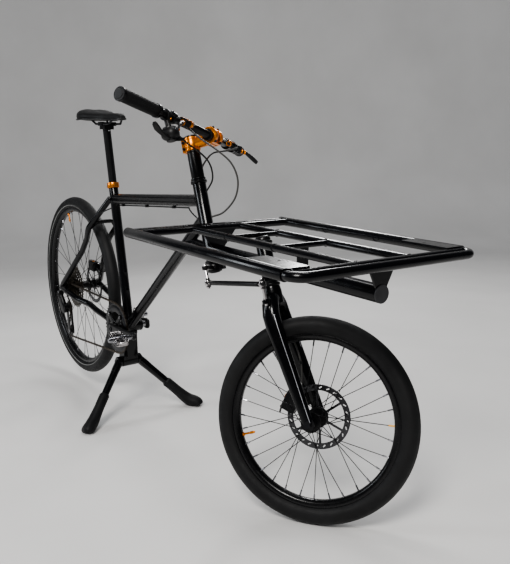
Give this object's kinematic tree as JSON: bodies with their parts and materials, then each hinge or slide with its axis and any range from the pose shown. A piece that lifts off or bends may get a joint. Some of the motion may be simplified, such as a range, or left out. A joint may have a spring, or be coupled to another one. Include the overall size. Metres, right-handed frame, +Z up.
{
  "type": "front-loading cargo bicycle",
  "caption": "Cargo bicycle with a flat tubular deck over a small linkage-steered front wheel, diamond rear frame, disc brakes and a splayed centre stand.",
  "frame": {"origin": "point on the floor midway between the two stand feet, on the bicycle's centre plane", "axes": "+X forward along the bicycle, +Y to the rider's left, +Z up from the floor"},
  "size_m": [2.0637, 0.6252, 1.0865],
  "materials": {
    "frame_paint": "satin",
    "cap_grey": "matte",
    "black_alloy": "satin anodised",
    "orange_alloy": "anodised",
    "tyre_rubber": "matte",
    "rim_black": "satin",
    "stainless": "polished",
    "dark_steel": "brushed",
    "chain_steel": "oiled",
    "silver_alloy": "satin",
    "black_plastic": "matte",
    "grip_rubber": "matte",
    "boot_rubber": "matte",
    "saddle_skin": "matte",
    "chrome": "polished"
  },
  "bodies": {
    "frame": {"main_frame": "frame_paint", "cargo_deck": "frame_paint", "boom_cap": "cap_grey", "headset_cups": "black_alloy", "bb_cups": "black_alloy", "seat_clamp": "orange_alloy", "rear_axle": "dark_steel", "rear_caliper": "black_alloy", "derailleur": "black_alloy", "chain": "chain_steel", "stand_bracket": "black_alloy", "frame_cables": "black_plastic"},
    "column": {"steering_column": "dark_steel", "column_spacers": "black_alloy", "stem": "orange_alloy", "stem_faceplate": "orange_alloy", "stem_bolts": "dark_steel", "stem_cap": "black_alloy", "handlebar": "black_alloy", "grips": "grip_rubber", "brake_bodies": "black_alloy", "reservoir_caps": "orange_alloy", "shifter_body": "black_plastic", "column_arm": "black_alloy"},
    "tie_rod": {"tie_rod": "black_alloy", "rod_ends": "chrome", "rod_studs": "chrome"},
    "fork": {"fork": "frame_paint", "fork_cap": "black_alloy", "front_axle": "dark_steel", "front_caliper": "black_alloy"},
    "front_wheel": {"front_tyre": "tyre_rubber", "front_rim": "rim_black", "front_spokes": "stainless", "front_hub": "black_alloy", "front_rotor": "dark_steel", "front_valve": "orange_alloy"},
    "rear_wheel": {"rear_tyre": "tyre_rubber", "rear_rim": "rim_black", "rear_spokes": "stainless", "rear_hub": "black_alloy", "rear_rotor": "dark_steel", "rear_valve": "orange_alloy"},
    "cassette": {"cassette": "dark_steel"},
    "crankset": {"crank_arm_right": "black_alloy", "crank_arm_left": "black_alloy", "chainring": "dark_steel"},
    "pedal_right": {"pedal_right": "silver_alloy"},
    "pedal_left": {"pedal_left": "silver_alloy"},
    "stand": {"stand_legs": "frame_paint", "stand_boots": "boot_rubber", "stand_pin": "dark_steel"},
    "brake_lever_right": {"brake_lever_right": "black_alloy"},
    "brake_lever_left": {"brake_lever_left": "black_alloy"},
    "shifter_lever": {"shifter_lever": "black_plastic"},
    "seat": {"seatpost": "black_alloy", "saddle": "saddle_skin", "saddle_rails": "dark_steel"},
    "guide_pulley": {"guide_pulley": "black_plastic"},
    "tension_pulley": {"tension_pulley": "black_plastic"}
  },
  "joints": [
    {"name": "column_steer", "type": "hinge", "parent": "frame", "child": "column", "pos_m": [0.47019, 0, 0.69841], "axis": [-0.2672, 0, 0.9636], "range_deg": [-79.5, 10.5]},
    {"name": "fork_steer", "type": "hinge", "parent": "frame", "child": "fork", "pos_m": [0.85268, 0, 0.23748], "axis": [-0.2672, 0, 0.9636], "range_deg": [-79.5, 10.5]},
    {"name": "tie_rod_swing", "type": "hinge", "parent": "column", "child": "tie_rod", "pos_m": [0.5465, -0.04945, 0.55042], "axis": [-0.2672, 0, 0.9636], "range_deg": [-10.5, 79.5]},
    {"name": "front_wheel_spin", "type": "hinge", "parent": "fork", "child": "front_wheel", "pos_m": [0.88842, 0.02549, 0.24739], "axis": [-0.5458, 0.8241, -0.1514], "continuous": true},
    {"name": "rear_wheel_spin", "type": "hinge", "parent": "frame", "child": "rear_wheel", "pos_m": [-0.52869, 0, 0.41359], "axis": [0, 1, 0], "continuous": true},
    {"name": "crank_spin", "type": "hinge", "parent": "frame", "child": "crankset", "pos_m": [-0.08049, 0, 0.31899], "axis": [0, 1, 0], "range_deg": [-60, 50]},
    {"name": "cassette_spin", "type": "hinge", "parent": "frame", "child": "cassette", "pos_m": [-0.52869, 0, 0.41359], "axis": [0, 1, 0], "continuous": true},
    {"name": "guide_pulley_spin", "type": "hinge", "parent": "frame", "child": "guide_pulley", "pos_m": [-0.51839, 0, 0.33531], "axis": [0, 1, 0], "continuous": true},
    {"name": "tension_pulley_spin", "type": "hinge", "parent": "frame", "child": "tension_pulley", "pos_m": [-0.51109, 0, 0.23658], "axis": [0, 1, 0], "continuous": true},
    {"name": "pedal_right_spin", "type": "hinge", "parent": "crankset", "child": "pedal_right", "pos_m": [0.08948, 0, 0.32225], "axis": [0, 1, 0], "continuous": true},
    {"name": "pedal_left_spin", "type": "hinge", "parent": "crankset", "child": "pedal_left", "pos_m": [-0.25046, 0, 0.31572], "axis": [0, 1, 0], "continuous": true},
    {"name": "stand_fold", "type": "hinge", "parent": "frame", "child": "stand", "pos_m": [-0.1034, 0, 0.18874], "axis": [0, 1, 0], "range_deg": [0, 116]},
    {"name": "brake_lever_right_pull", "type": "hinge", "parent": "column", "child": "brake_lever_right", "pos_m": [0.56356, -0.11681, 0.96869], "axis": [-0.2527, -0.3297, -0.9096], "range_deg": [0, 16], "stiffness_Nm_per_rad": 0.5},
    {"name": "brake_lever_left_pull", "type": "hinge", "parent": "column", "child": "brake_lever_left", "pos_m": [0.35818, 0.19328, 0.91173], "axis": [0.2485, 0.3361, 0.9085], "range_deg": [0, 16], "stiffness_Nm_per_rad": 0.5},
    {"name": "shifter_push", "type": "hinge", "parent": "column", "child": "shifter_lever", "pos_m": [0.55043, -0.1464, 0.94651], "axis": [-0.2672, 0, 0.9636], "range_deg": [0, 20], "stiffness_Nm_per_rad": 0.2},
    {"name": "seatpost_slide", "type": "slide", "parent": "frame", "child": "seat", "axis": [-0.1374, 0, 0.9905], "range_m": [-0.12, 0.04], "stiffness_N_per_m": 20000}
  ],
  "couplings": [
    {"joint": "fork_steer", "follows": "column_steer", "ratio": 1},
    {"joint": "tie_rod_swing", "follows": "column_steer", "ratio": -1},
    {"joint": "cassette_spin", "follows": "crank_spin", "ratio": 4},
    {"joint": "guide_pulley_spin", "follows": "crank_spin", "ratio": -4},
    {"joint": "tension_pulley_spin", "follows": "crank_spin", "ratio": 4}
  ]
}
